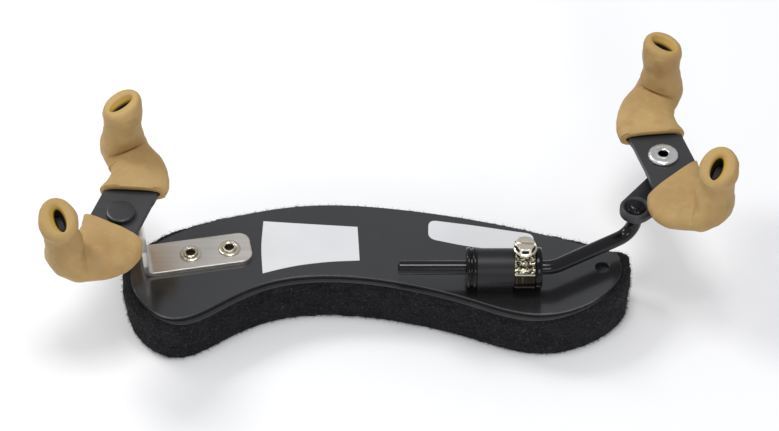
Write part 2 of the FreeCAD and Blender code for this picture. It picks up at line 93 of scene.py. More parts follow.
def light_the_table():
    """A pale sky all round, and three soft square lamps that look at the part."""
    world = bpy.data.worlds.new("studio")
    bpy.context.scene.world = world
    world.use_nodes = True
    background = world.node_tree.nodes["Background"]
    background.inputs["Color"].default_value = (0.93, 0.95, 1.0, 1)
    background.inputs["Strength"].default_value = 0.52
    for name, place, size, power in LAMPS:
        lamp = bpy.data.lights.new(name, "AREA")
        lamp.size = size
        lamp.energy = power
        holder = put(name, lamp)
        holder.location = Vector(place)
        holder.rotation_euler = (LAMP_AIM - holder.location).to_track_quat("-Z", "Y").to_euler()
    bpy.context.scene.view_settings.view_transform = "Standard"


def lay_floor():
    sheet = bpy.data.meshes.new("floor")
    corners = [(-1, -1), (1, -1), (1, 1), (-1, 1)]
    sheet.from_pydata([(x * FLOOR_REACH, y * FLOOR_REACH, 0) for x, y in corners], [], [(0, 1, 2, 3)])
    floor = put("floor", sheet)
    paper = Finish("white_paper_floor", {"Roughness": 0.9, "Specular IOR Level": 0.1})
    drift = paper.noise(3.0, 2.0)
    paper.colour(paper.blend((0.90, 0.90, 0.90), (0.94, 0.94, 0.94), drift))
    sheet.materials.append(paper.material)


# Finishes

class Reading:
    """A value in a finish's node tree; sums on it add the nodes that work them out."""

    def __init__(self, finish, socket):
        self.finish = finish
        self.socket = socket

    def work(self, operation, first, second):
        return self.finish.add("ShaderNodeMath", {"operation": operation}, {0: first, 1: second})

    def __add__(self, other):
        return self.work("ADD", self, other)

    def __radd__(self, other):
        return self.work("ADD", other, self)

    def __sub__(self, other):
        return self.work("SUBTRACT", self, other)

    def __rsub__(self, other):
        return self.work("SUBTRACT", other, self)

    def __mul__(self, other):
        return self.work("MULTIPLY", self, other)

    def __rmul__(self, other):
        return self.work("MULTIPLY", other, self)


class Finish:
    """A material in the making: its shader, and the nodes that feed it."""

    def __init__(self, name, constants):
        self.material = bpy.data.materials.new(name)
        self.material.use_nodes = True
        self.tree = self.material.node_tree
        self.shader = self.tree.nodes["Principled BSDF"]
        for socket, value in constants.items():
            self.shader.inputs[socket].default_value = value

    def add(self, kind, settings=None, inputs=None, output=0):
        """A node of that type, its settings first, then its sockets' values or links."""
        node = self.tree.nodes.new(kind)
        for name, value in (settings or {}).items():
            setattr(node, name, value)
        for key, value in (inputs or {}).items():
            self.feed(node.inputs[key], value)
        return Reading(self, node.outputs[output])

    def feed(self, socket, value):
        """Links a reading to the socket, or sets its constant."""
        if isinstance(value, Reading):
            self.tree.links.new(value.socket, socket)
        elif isinstance(value, tuple) and len(value) == 3 and len(socket.default_value) == 4:
            socket.default_value = (*value, 1)
        else:
            socket.default_value = value

    def place(self, stretch=(1, 1, 1), turn=0.0):
        """Object coordinates, turned about Z and stretched."""
        spot = self.add("ShaderNodeTexCoord", output="Object")
        return self.add("ShaderNodeMapping", {}, {"Vector": spot, "Rotation": (0, 0, turn), "Scale": stretch})

    def noise(self, scale, detail=3.0, stretch=(1, 1, 1), turn=0.0, roughness=0.5):
        spot = self.place(stretch, turn)
        return self.add("ShaderNodeTexNoise", {}, {"Vector": spot, "Scale": scale, "Detail": detail,
                                                   "Roughness": roughness}, "Fac")

    def sharpen(self, value, low, high):
        """0 below low, 1 above high."""
        inputs = {"Value": value, "From Min": low, "From Max": high}
        return self.add("ShaderNodeMapRange", {"clamp": True}, inputs)

    def height(self):
        """How high the spot is, in metres."""
        return self.add("ShaderNodeSeparateXYZ", {}, {0: self.place()}, "Z")

    def scratches(self, scale, turn, stretch, amount):
        """Thin lines along the turned X axis, 1 on a line."""
        lines = self.noise(scale, 2.0, (1 / stretch, 1, 1), turn, 0.6)
        return self.sharpen(lines, 1 - amount, 1 - amount + 0.03)

    def blend(self, first, second, factor):
        colours = {0: factor, 6: first, 7: second}
        return self.add("ShaderNodeMix", {"data_type": "RGBA"}, colours, 2)

    def attribute(self, name):
        return self.add("ShaderNodeAttribute", {"attribute_name": name}, output="Fac")

    def colour(self, value):
        self.feed(self.shader.inputs["Base Color"], value)

    def rough(self, value):
        self.feed(self.shader.inputs["Roughness"], value)

    def relief(self, height, distance, strength, under=None):
        """Bump from a height of 0 to 1, that many millimetres tall, over the normal under it."""
        inputs = {"Height": height, "Distance": distance * MM, "Strength": strength}
        if under:
            inputs["Normal"] = under
        self.feed(self.shader.inputs["Normal"], self.add("ShaderNodeBump", {}, inputs, "Normal"))

    def rounded_edges(self, radius):
        """Normals that round off sharp corners, for edges broken by hand."""
        return self.add("ShaderNodeBevel", {"samples": 4}, {"Radius": radius * MM}, "Normal")


def satin_black_steel():
    """Baked black paint on sheet steel: fine peel, dust specks, a little wear."""
    paint = Finish("satin_black_steel", {"Specular IOR Level": 1.0})
    cloud = paint.noise(45.0, 4.0)
    specks = paint.sharpen(paint.noise(2600.0, 2.0), 0.66, 0.74)
    tone = paint.blend((0.013, 0.013, 0.0135), (0.021, 0.021, 0.022), cloud)
    paint.colour(paint.blend(tone, (0.10, 0.10, 0.10), specks * 0.3))
    paint.rough(0.15 + cloud * 0.07)
    paint.relief(paint.noise(1400.0, 2.0), 0.006, 0.5, paint.rounded_edges(0.25))
    return paint.material


def fork_black_steel():
    """Darker satin plating on the forks and the link, with painted shade on the prongs inside the tubes."""
    plating = Finish("fork_black_steel", {"Specular IOR Level": 0.6})
    cloud = plating.noise(120.0, 4.0)
    marks = plating.scratches(260.0, 1.2, 14.0, 0.33)
    # Painted shade: near black and rougher above the height where the prongs sit inside the rubber tubes.
    deep = plating.sharpen(plating.height(), 0.0460, 0.0475)
    steel = plating.blend((0.018, 0.018, 0.020), (0.028, 0.028, 0.031), cloud)
    plating.colour(plating.blend(steel, (0.010, 0.007, 0.005), deep))
    plating.rough(0.40 + cloud * 0.12 - marks * 0.06 + deep * 0.3)
    plating.relief(plating.noise(1900.0, 2.0), 0.005, 0.5, plating.rounded_edges(0.2))
    return plating.material


def brushed_nickel():
    """Nickel on the bracket: brushed along the strip, with a few cross scratches."""
    turn = math.radians(-10.5)
    nickel = Finish("brushed_nickel", {"Metallic": 1.0})
    grain = nickel.noise(900.0, 3.0, (0.03, 1, 1), turn)
    marks = nickel.scratches(150.0, 0.35, 20.0, 0.34)
    nickel.colour(nickel.blend((0.62, 0.575, 0.52), (0.78, 0.735, 0.68), grain))
    nickel.rough(0.30 + grain * 0.14 + marks * 0.1)
    nickel.relief(grain, 0.004, 0.35, nickel.rounded_edges(0.45))
    return nickel.material


def rivet_nickel():
    """Warm nickel on the hollow rivets, with rolling marks."""
    nickel = Finish("rivet_nickel", {"Metallic": 1.0})
    cloud = nickel.noise(700.0, 3.0)
    nickel.colour(nickel.blend((0.55, 0.49, 0.37), (0.78, 0.73, 0.61), cloud))
    nickel.rough(0.16 + cloud * 0.16)
    nickel.relief(nickel.noise(900.0, 2.0), 0.03, 0.6)
    return nickel.material


def black_rivet_steel():
    """The left rivet: plated like the fork, a little smoother where the press met it."""
    steel = Finish("black_rivet_steel", {"Specular IOR Level": 0.65})
    cloud = steel.noise(300.0, 3.0)
    steel.colour(steel.blend((0.012, 0.012, 0.014), (0.020, 0.020, 0.023), cloud))
    steel.rough(0.32 + cloud * 0.1)
    steel.relief(steel.noise(1500.0, 2.0), 0.006, 0.4)
    return steel.material


def pressed_aluminium():
    """Bright rivet: dented a little by the press, with painted shade in its hole."""
    metal = Finish("pressed_aluminium", {"Metallic": 1.0})
    cloud = metal.noise(420.0, 4.0)
    pits = metal.sharpen(metal.noise(1500.0, 2.0), 0.6, 0.72)
    bright = metal.blend((0.62, 0.62, 0.615), (0.90, 0.90, 0.89), cloud)
    # Painted shade: near black where the shade attribute marks the hole.
    metal.colour(metal.blend(bright, (0.035, 0.035, 0.035), metal.attribute("shade")))
    metal.rough(0.22 + cloud * 0.14 + pits * 0.1)
    metal.relief(cloud + pits * 0.4, 0.03, 0.5)
    return metal.material


def latex_rubber():
    """Natural rubber tube: amber, with painted shade in the folds and deep in the bore, yellower inside,
    slightly see-through.
    """
    rubber = Finish("latex_rubber", {"Subsurface Weight": 0.2, "Subsurface Radius": (0.9, 0.45, 0.16),
                                     "Subsurface Scale": 0.0022, "Specular IOR Level": 0.32})
    cloud = rubber.noise(75.0, 4.0)
    patch = rubber.noise(150.0, 2.0)
    bloom = rubber.noise(420.0, 3.0)
    skin = rubber.blend((0.355, 0.222, 0.082), (0.475, 0.320, 0.130), rubber.sharpen(cloud, 0.32, 0.68))
    skin = rubber.blend(skin, (0.34, 0.175, 0.062), rubber.sharpen(patch, 0.52, 0.74) * 0.6)
    skin = rubber.blend(skin, (0.58, 0.43, 0.22), rubber.sharpen(bloom, 0.55, 0.8) * 0.25)
    # Painted shade in the folds: the crease attribute darkens the skin to a reddish brown where the tube
    # bends.
    skin = rubber.blend(skin, (0.25, 0.105, 0.028), rubber.attribute("crease"))
    skin = rubber.blend(skin, (0.52, 0.350, 0.115), rubber.attribute("rim") * 0.7)
    skin = rubber.blend(skin, (0.56, 0.355, 0.065), rubber.sharpen(rubber.attribute("inside"), 0.0, 0.4))
    # Painted shade deep in the bore and the tunnel: near black where the inside value passes about a half.
    skin = rubber.blend(skin, (0.022, 0.014, 0.008), rubber.sharpen(rubber.attribute("inside"), 0.45, 0.72))
    rubber.colour(skin)
    rubber.rough(0.48 + bloom * 0.2)
    rubber.relief(rubber.noise(260.0, 3.0) + rubber.noise(1100.0, 2.0) * 0.2, 0.06, 0.4)
    return rubber.material


def felted_foam():
    """Black foam with a fibrous skin, grey specks of lint."""
    foam = Finish("felted_foam", {"Sheen Weight": 0.06, "Sheen Roughness": 0.6, "Specular IOR Level": 0.08})
    cells = foam.noise(1300.0, 4.0, roughness=0.7)
    cloud = foam.noise(160.0, 4.0)
    lint = foam.sharpen(foam.noise(1900.0, 3.0), 0.60, 0.72)
    tone = foam.blend((0.003, 0.003, 0.003), (0.014, 0.014, 0.016), foam.sharpen(cells, 0.35, 0.65))
    tone = foam.blend(tone, (0.022, 0.022, 0.025), foam.sharpen(cloud, 0.45, 0.75) * 0.5)
    foam.colour(foam.blend(tone, (0.13, 0.13, 0.14), lint * 0.45))
    foam.rough(0.85 + cells * 0.12)
    foam.relief(cells + cloud * 0.6, 0.35, 0.9)
    return foam.material


def matte_holder_rubber():
    rubber = Finish("matte_holder_rubber", {"Specular IOR Level": 0.34})
    grain = rubber.noise(500.0, 3.0, (0.2, 1, 1))
    rubber.colour(rubber.blend((0.005, 0.005, 0.006), (0.010, 0.010, 0.011), grain))
    rubber.rough(0.38 + grain * 0.12)
    rubber.relief(rubber.noise(1500.0, 2.0), 0.008, 0.5, rubber.rounded_edges(0.2))
    return rubber.material


def gloss_black():
    """The turned liner of the holder: hard plastic, glossy, rubbed dull in places."""
    plastic = Finish("gloss_black_plastic", {"Specular IOR Level": 0.2})
    cloud = plastic.noise(400.0, 3.0)
    plastic.colour(plastic.blend((0.003, 0.003, 0.003), (0.008, 0.008, 0.009), cloud))
    plastic.rough(0.10 + cloud * 0.14)
    plastic.relief(plastic.noise(800.0, 2.0), 0.006, 0.4, plastic.rounded_edges(0.22))
    return plastic.material


def enamelled_rod():
    """Black enamel on the drawn rod: glossy, with faint drawing lines."""
    enamel = Finish("enamelled_rod", {"Specular IOR Level": 0.30})
    wave = enamel.noise(60.0, 3.0)
    enamel.colour(enamel.blend((0.004, 0.004, 0.004), (0.009, 0.009, 0.010), wave))
    enamel.rough(0.10 + wave * 0.12)
    enamel.relief(enamel.noise(350.0, 3.0), 0.012, 0.4)
    return enamel.material


def champagne_nickel():
    """The clamp screw's warm plating, with painted shade on the hexagon's flats."""
    nickel = Finish("champagne_nickel", {"Metallic": 1.0})
    grain = nickel.noise(1100.0, 3.0, (0.12, 1, 1), math.radians(6))
    plate = nickel.blend((0.74, 0.67, 0.54), (0.90, 0.85, 0.75), grain)
    # Painted shade: the shade attribute turns the hexagon's flats near black, their corners left bright.
    nickel.colour(nickel.blend(plate, (0.020, 0.016, 0.012), nickel.attribute("shade")))
    nickel.rough(0.16 + grain * 0.14)
    nickel.relief(grain, 0.008, 0.5)
    return nickel.material


def crumpled_nickel():
    """The clamp's band: painted glints above a straight crease, a painted highlight along the crease, painted
    shade with dark streaks below it.
    """
    nickel = Finish("crumpled_nickel", {"Metallic": 1.0})
    height = nickel.height()
    folds = nickel.noise(700.0, 2.5, roughness=0.6)
    # Painted glints of the crumpled metal above the crease.
    painted_glints = nickel.sharpen(nickel.noise(1500.0, 3.0, roughness=0.6), 0.47, 0.58)
    upper = nickel.sharpen(height, 0.02530, 0.02545)
    # Painted highlight: a bright line along the crease, set by height.
    crease = nickel.sharpen(height, 0.02500, 0.02510) - upper
    streaks = nickel.sharpen(nickel.noise(1300.0, 2.0, (1, 0.1, 0.1)), 0.55, 0.72)
    # Painted shade on the band below the crease, with dark streaks.
    strip = nickel.blend((0.020, 0.017, 0.013), (0.11, 0.10, 0.07), streaks)
    strip = nickel.blend(strip, nickel.blend((0.026, 0.024, 0.017), (0.52, 0.48, 0.34), painted_glints), upper)
    nickel.colour(nickel.blend(strip, (0.72, 0.69, 0.58), nickel.sharpen(crease, 0.0, 1.0)))
    nickel.rough(0.16 + folds * 0.14)
    nickel.relief(folds * upper, 0.25, 0.9)
    return nickel.material


def label_paper():
    """Bare white label: satin paper with a faint fibre."""
    paper = Finish("label_paper", {"Specular IOR Level": 0.35})
    fibre = paper.noise(900.0, 4.0)
    cloud = paper.noise(60.0, 3.0)
    sheet = paper.blend((0.62, 0.62, 0.625), (0.70, 0.70, 0.705), cloud)
    paper.colour(paper.blend(sheet, (0.58, 0.58, 0.58), paper.sharpen(fibre, 0.62, 0.8) * 0.3))
    paper.rough(0.5 + fibre * 0.15)
    paper.relief(fibre, 0.01, 0.3)
    return paper.material


def grey_adhesive():
    film = Finish("grey_adhesive", {"Specular IOR Level": 0.4})
    cloud = film.noise(500.0, 3.0)
    film.colour(film.blend((0.02, 0.02, 0.021), (0.04, 0.04, 0.042), cloud))
    film.rough(0.5 + cloud * 0.2)
    return film.material


# Making pieces

def piece_from(mesh, name, material, body, replaced=(), smooth=True):
    """An object from a mesh, with its finish, its body and the nodes that it stands for."""
    piece = put(name, mesh)
    mesh.materials.clear()
    mesh.materials.append(material)
    if smooth:
        mesh.shade_smooth()
    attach(piece, body)
    if replaced:
        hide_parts(*replaced)
    return piece


def applied(piece):
    """The piece's mesh with its modifiers in it, as a plain mesh."""
    bpy.context.view_layer.update()
    source = piece.evaluated_get(bpy.context.evaluated_depsgraph_get())
    return bpy.data.meshes.new_from_object(source)


def skin_of_rings(name, rings, shades=None, joined=False):
    """A closed shell through rings of points, its two ends filled, or joined to each other.

    Shades are named lists with a value for each point; a filled end's middle takes its ring's.
    """
    shell = bmesh.new()
    rows = [[shell.verts.new(point) for point in ring] for ring in rings]
    for row, after in zip(rows, rows[1:] + rows[:1] if joined else rows[1:]):
        count = len(row)
        for k in range(count):
            shell.faces.new((row[k], row[(k + 1) % count], after[(k + 1) % count], after[k]))
    for row in () if joined else (rows[0], rows[-1]):
        middle = shell.verts.new(sum((v.co for v in row), Vector()) / len(row))
        for first, second in zip(row, row[1:] + row[:1]):
            shell.faces.new((first, second, middle))
    bmesh.ops.recalc_face_normals(shell, faces=shell.faces)
    mesh = mesh_of(shell, name)
    for title, values in (shades or {}).items():
        layer = mesh.attributes.new(title, "FLOAT", "POINT")
        layer.data.foreach_set("value", values + [values[0], values[-1]])
    return mesh


def span_of(name):
    """A node's upright axis, and the heights of its bottom and its top in millimetres."""
    low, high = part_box(name)
    return Vector(((low[0] + high[0]) / 2, (low[1] + high[1]) / 2, 0)), low[2] / MM, high[2] / MM


def turned_shell(name, outline, place, steps, wobble, joined=False, shades=None):
    """A closed solid of revolution about an upright axis, from (radius, height) in millimetres."""
    rings = []
    for radius, height in outline:
        ring = []
        for k in range(steps):
            angle = 2 * math.pi * k / steps
            spot = Vector((math.cos(angle) * radius, math.sin(angle) * radius, height))
            stray = noise.noise_vector(spot * 1.1 + Vector((3.1, 0, 7.7))) * wobble
            ring.append(place + (spot + stray) * MM)
        rings.append(ring)
    return skin_of_rings(name, rings, shades, joined)


def start_tree(tree, takes, sizes):
    """A geometry node tree's sockets, and a maker of its nodes that feeds or links each input."""
    tree.interface.new_socket(name=takes, in_out="INPUT", socket_type="NodeSocketGeometry")
    for name in sizes:
        tree.interface.new_socket(name=name, in_out="INPUT", socket_type="NodeSocketFloat")
    tree.interface.new_socket(name="Result", in_out="OUTPUT", socket_type="NodeSocketGeometry")

    def add(kind, links, **settings):
        node = tree.nodes.new(kind)
        for key, value in settings.items():
            setattr(node, key, value)
        for key, value in links.items():
            if isinstance(value, bpy.types.NodeSocket):
                tree.links.new(value, node.inputs[key])
            else:
                node.inputs[key].default_value = value
        return node

    return add, tree.nodes.new("NodeGroupInput"), tree.nodes.new("NodeGroupOutput")


def end_tree(tree, add, spread, material, result):
    """Realizes the tree's instances, dresses them, and hands them out."""
    real = add("GeometryNodeRealizeInstances", {"Geometry": spread.outputs[0]})
    dressed = add("GeometryNodeSetMaterial", {"Geometry": real.outputs[0], "Material": material})
    tree.links.new(dressed.outputs[0], result.inputs[0])


def grown(name, mesh, tree, sizes):
    """The plain mesh that a geometry node tree makes from a mesh, with its named sizes."""
    work = put(name, mesh)
    maker = work.modifiers.new(tree.name, "NODES")
    maker.node_group = tree
    for item in tree.interface.items_tree:
        if item.in_out == "INPUT" and item.name in sizes:
            maker[item.identifier] = sizes[item.name]
    result = applied(work)
    bpy.data.objects.remove(work)
    return result


# Rubber sleeves, in millimetres and degrees

FORK_MIDDLE = 36.0
SLEEVE_TOP = 54.0
FOLD_TURN = 50.0
PRONG_OUT = 2.3
BEND_RADIUS = 5.0
STEPS_ROUND = 72
STEPS_ALONG = 10
STRAY = 0.55
MOUTH_SLOPE_REACH = 9.0
FEET = {
    "left": {"hub": mm(-70.0, -1.2, 0), "turn": -18.0, "mirror": False},
    "right": {"hub": mm(79.2, 21.5, 0), "turn": 16.5, "mirror": True},
}
# Along the blade: share of the way, width past the lip's, reach up, reach down
BLADE = [(0.0, 0.0, 3.0, 2.5), (0.14, 0.1, 3.2, 2.7), (0.32, -0.2, 3.3, 2.9), (0.5, -0.6, 3.4, 3.1),
         (0.7, -0.9, 3.5, 3.5)]
# Round the bend: angle, half width, reach inwards, reach outwards, share of the skirt
BEND = [(18, 7.2, 3.8, 4.2, 0.8), (42, 6.8, 4.0, 5.6, 1.0), (66, 6.6, 4.1, 6.3, 0.85),
        (88, 6.3, 4.2, 5.7, 0.5)]
# Behind the lip: depth, width taken off, how far inside (painted shade where it is deep), how near the rim
TUNNEL = [(7.0, 0.9, 1.0, 0), (4.0, 0.5, 1.0, 0), (1.5, 0.15, 0.9, 0), (0.5, 0.0, 0.4, 0.6),
          (0.12, -0.12, 0.1, 0.9), (0.0, -0.35, 0.0, 0.9)]
LIP_RIM = [(0.0, 0.55), (0.1, 0.25), (0.35, 0.05)]
MOUTH_RIM = [(2.0, 0.0), (1.3, 0.12), (0.75, 0.36), (0.35, 0.7), (0.12, 1.1)]
# Down the bore: depth, wider, deeper, shift outwards, how far inside (yellower, then painted shade further
# in), how near the rim
BORE = [(0.05, 0.45, 0.45, 0.0, 0.0, 0.8), (0.35, 0.15, 0.15, 0.0, 0.1, 0.6), (0.8, 0.0, 0.0, 0.1, 0.35, 0.2),
        (1.4, -0.15, -0.3, 0.3, 0.5, 0), (2.0, -0.2, -0.55, 0.45, 0.7, 0), (2.6, -0.1, -0.7, 0.4, 1.0, 0),
        (4.5, 0.0, -0.7, 0.2, 1.0, 0), (9.0, 0.0, -0.7, 0.0, 1.0, 0)]
# end: which prong; out, along: where it rises; lean: its tilt; lip, swing: the lip's place and turn;
# half, bow: half width and bend along the blade; bulge, rise: swell and extra height at the top; skirt,
# tuck: width added outside the fold and taken off inside it; slope, drop: the mouth's cut; fold: its depth
SLEEVES = {
    "left_rear": {"end": 1, "out": 6.1, "along": 22.7, "lean": 4, "lip": 9.1, "swing": 14, "half": 8.9,
                  "bow": 2.4, "bulge_out": 0.0, "bulge_along": 0.9, "rise": 0.0, "tuck": 0.0,
                  "skirt": (0.3, -0.6, -0.3), "slope": -0.36, "drop": -0.4, "hole": (3.3, 1.65),
                  "hole_shift": 0.3, "fold": 0.8},
    "left_front": {"end": -1, "out": 6.4, "along": 18.4, "lean": 1, "lip": 5.2, "swing": 12, "half": 9.8,
                   "bow": 3.6, "bulge_out": -0.8, "bulge_along": 0.0, "rise": 1.0, "tuck": 0.3,
                   "skirt": (0.0, 0.8, 2.5), "slope": 0.5, "drop": -1.6, "hole": (3.4, 1.85),
                   "hole_shift": -0.9, "fold": 0.12},
    "right_rear": {"end": 1, "out": 5.6, "along": 23.4, "lean": 6, "lip": 8.0, "swing": 10, "half": 9.2,
                   "bow": 2.4, "bulge_out": 0.0, "bulge_along": 0.8, "rise": 0.0, "tuck": 0.6,
                   "skirt": (0.2, -0.8, -0.3), "slope": -0.2, "drop": 0.0, "hole": (3.4, 2.1),
                   "hole_shift": 0.2, "fold": 0.8},
    "right_front": {"end": -1, "out": 4.3, "along": 21.3, "lean": 1, "lip": 8.8, "swing": 26, "half": 10.5,
                    "bow": 3.9, "bulge_out": -0.2, "bulge_along": 0.0, "rise": 1.3, "tuck": 1.5,
                    "skirt": (0.5, 0.5, 2.5), "slope": 0.5, "drop": -1.6, "hole": (3.4, 2.0),
                    "hole_shift": -1.0, "fold": 0.12},
}


def heading(degrees):
    """A level direction, turned that far from X."""
    angle = math.radians(degrees)
    return Vector((math.cos(angle), math.sin(angle), 0))


def key_rings(form):
    """The tube's sections in the fork's frame, in millimetres, from the lip to the mouth.

    Each is centre, direction, across, half width, reach inwards, reach outwards, squareness, the
    extra width on the side away from the fold, and the width taken off the other side.
    """
    end = form["end"]
    out = heading(end * (90 + FOLD_TURN))
    fold = heading(end * (90 + FOLD_TURN) + 90 * end)
    place = Vector((-form["out"], end * form["along"], FORK_MIDDLE))
    lip = Vector((-0.3, end * form["lip"], FORK_MIDDLE))
    at_lip, at_middle, at_bend = form["skirt"]
    last = FOLD_TURN - 12
    keys = []
    for share, wider, up, down in BLADE:
        angle = end * (90 + form["swing"] + (last - form["swing"]) * share ** 1.5)
        bow = heading(end * (form["swing"] + 10)) * (form["bow"] * math.sin(math.pi * share))
        square = 3.2 - 0.7 * min(1.0, share / 0.32)
        skirt = at_lip + (at_middle - at_lip) * min(1.0, share / 0.35)
        keys.append((lip.lerp(place, share) + bow, heading(angle), heading(angle + 90 * end),
                     form["half"] + wider, up, down, square, skirt, form["tuck"] * max(0.0, 1 - share / 0.5)))
    centre = place + out * (PRONG_OUT - BEND_RADIUS) + UP * BEND_RADIUS
    swell = out * form["bulge_out"] + fold * form["bulge_along"]
    for angle, wide, inner, outer, more in BEND:
        tilt = math.radians(angle)
        spoke = out * math.sin(tilt) - UP * math.cos(tilt)
        along = out * math.cos(tilt) + UP * math.sin(tilt)
        keys.append((centre + spoke * BEND_RADIUS + swell * 0.9, along, fold, wide, inner, outer, 2.1,
                     at_bend * more, 0.0))
    lean = math.radians(form["lean"])
    upright = UP * math.cos(lean) + out * math.sin(lean)
    foot = place + out * PRONG_OUT
    top = (SLEEVE_TOP + form["rise"] - foot.z) / upright.z
    for rise, wide, deep, share in [(7.2, 5.75, 5.2, 0.6), (9.5, 5.3, 4.9, 0.3), (top - 6.5, 5.4, 5.0, -0.2),
                                    (top - 4.2, 5.6, 5.2, -0.4), (top - 2.0, 5.55, 5.15, -0.4)]:
        keys.append((foot + upright * rise + swell * share, upright, fold, wide, deep, deep, 2.0,
                     at_bend * max(0.0, share) * 0.4, 0.0))
    tip = foot + upright * top + swell * -0.4
    return keys, tip, upright, fold, out


def between(before, first, second, after, t):
    """A smooth curve's value between first and second."""
    return 0.5 * ((2 * first) + (second - before) * t + (2 * before - 5 * first + 4 * second - after) * t ** 2
                  + (3 * first - before - 3 * second + after) * t ** 3)


def hump(where, middle, width):
    """1 at the middle, fading to nothing past the width."""
    return math.exp(-((where - middle) / width) ** 2)


def sleeve_mesh(name, form, foot):
    """A rubber tube: tunnel at the lip, rim, outer skin, rim of the mouth, and the bore."""
    keys, tip, upright, fold, out = key_rings(form)
    end = form["end"]
    rings, shades = [], {"crease": [], "inside": [], "rim": []}

    def lean_mouth(spot, centre):
        """Slopes the tube's last stretch, as the knife cut it."""
        depth = (tip - centre).dot(upright)
        share = max(0.0, min(1.0, 1 - depth / MOUTH_SLOPE_REACH))
        return spot + UP * (share ** 1.5 * (form["slope"] * (spot - tip).dot(fold) + form["drop"]))

    def add(key, stray=0.0, folds=0.0, valley=0.0, inside=0.0, rim=0.0):
        """A ring of points round that section, with its shades."""
        centre, along, across, wide, inner, outer, square, skirt, tuck = key
        side = (along.cross(across) * end).normalized()
        ring = []
        for k in range(STEPS_ROUND):
            angle = 2 * math.pi * k / STEPS_ROUND
            c, s = math.cos(angle), math.sin(angle)
            away = 0.5 - 0.5 * c
            reach = wide + skirt * away - tuck * (1 - away)
            x = math.copysign(abs(c) ** (2 / square), c) * reach
            y = math.copysign(abs(s) ** (2 / square), s) * (inner if s > 0 else outer)
            inner_side = max(0.0, s) ** 2
            spot = centre + across * x + side * (y - valley * inner_side * (0.7 + 0.3 * c))
            if stray:
                swing = noise.noise(spot * 0.16 + Vector((0, 0, 5))) + 0.35 * noise.noise(spot * 0.45)
                spot += (spot - centre).normalized() * (swing * stray)
            ring.append(lean_mouth(spot, centre))
            # Painted shade in the folds, blotched: it falls on the inner side of the bend.
            blot = 0.75 + 0.6 * noise.noise(spot * 0.5)
            shades["crease"].append(min(1.0, (folds * 0.42 + valley * 0.6) * inner_side * blot))
        rings.append(ring)
        shades["inside"].extend([inside] * STEPS_ROUND)
        shades["rim"].extend([rim] * STEPS_ROUND)

    def near_lip(depth):
        """The section that far in from the lip."""
        t = depth / (keys[1][0] - keys[0][0]).length
        return [first + (second - first) * t for first, second in zip(keys[0], keys[1])]

    def tighter(key, less, less_deep, less_under):
        """That section, with its width and its two reaches made less."""
        *place, wide, up, down, square, skirt, tuck = key
        return *place, wide - less, up - less_deep, down - less_under, square, skirt, tuck

    for depth, less, dark, light in TUNNEL:
        section = tighter(near_lip(depth), 1.7 + less, 1.55 + less * 0.4, 1.3 + less * 0.4)
        add(section, inside=dark, rim=light)
    for depth, less in LIP_RIM:
        add(tighter(near_lip(depth), less, less, less), rim=0.5)
    for n in range(len(keys) - 1):
        around = [keys[max(0, n - 1)], keys[n], keys[n + 1], keys[min(len(keys) - 1, n + 2)]]
        for k in range(STEPS_ALONG):
            t = k / STEPS_ALONG
            if n == 0 and t < 0.2:
                continue
            centre, along, across, *sizes = [between(*values, t) for values in zip(*around)]
            where = n + t
            folds = hump(where, 6.6, 1.2)
            valley = hump(where, 6.4, 0.42) + 0.25 * hump(where, 7.4, 0.2) + 0.15 * hump(where, 5.5, 0.16)
            section = (centre, along.normalized(), across.normalized(), *sizes)
            add(section, STRAY, folds, form["fold"] * valley)
    last = keys[-1]
    for back, less in MOUTH_RIM:
        key = (tip - upright * back, *tighter(last, less, less, less)[1:])
        add(key, 0.3 if less < 0.2 else 0.0, rim=less * 0.5)
    along_half, across_half = form["hole"]
    for back, wider, deeper, shift, dark, light in BORE:
        aside = form["hole_shift"] * max(0.0, min(0.4 + back, 1 - back / 4.0))
        centre = tip - upright * back - out * shift + fold * aside
        reach = max(0.95, across_half + deeper)
        section = (centre, upright, fold, along_half + wider, reach, reach, 2.0, 0.0, 0.0)
        add(section, inside=dark, rim=light)
    where = FEET[foot]
    placed = []
    for ring in rings:
        row = []
        for spot in ring:
            if where["mirror"]:
                spot = Vector((-spot.x, spot.y, spot.z))
            row.append(where["hub"] + (Matrix.Rotation(math.radians(where["turn"]), 3, "Z") @ spot) * MM)
        placed.append(row)
    return skin_of_rings(name, placed, shades)


def make_sleeves(rubber):
    for name, form in SLEEVES.items():
        foot = name.split("_")[0]
        mesh = sleeve_mesh(name + "_tube", form, foot)
        piece_from(mesh, name + "_tube", rubber, foot + "_foot", [name + "_sleeve"])


# Foam

BACK_SPREAD = 2.3
SHOULDER_DROP = 1.3
SHOULDER_WIDTH = 1.6
PLATE_MARGIN = 0.5
SWELL, FUZZ = 0.35, 0.16
FOAM_GRID = 0.55
NAP = {"Density": 3.2 / MM ** 2, "Fibre length": 0.95 * MM, "Fibre radius": 0.045 * MM, "Spread": 0.9}
NAP_FLOOR = 0.02 * MM


def welded(name):
    """A CAD node's mesh to work on, its doubled corners joined."""
    shape = bmesh.new()
    shape.from_mesh(nodes[name].data)
    bmesh.ops.remove_doubles(shape, verts=shape.verts, dist=1e-6)
    return shape


def surface_of(name):
    """A CAD node's surface, to measure distances from."""
    data = nodes[name].data
    corners = [vertex.co for vertex in data.vertices]
    return BVHTree.FromPolygons(corners, [tuple(face.vertices) for face in data.polygons])


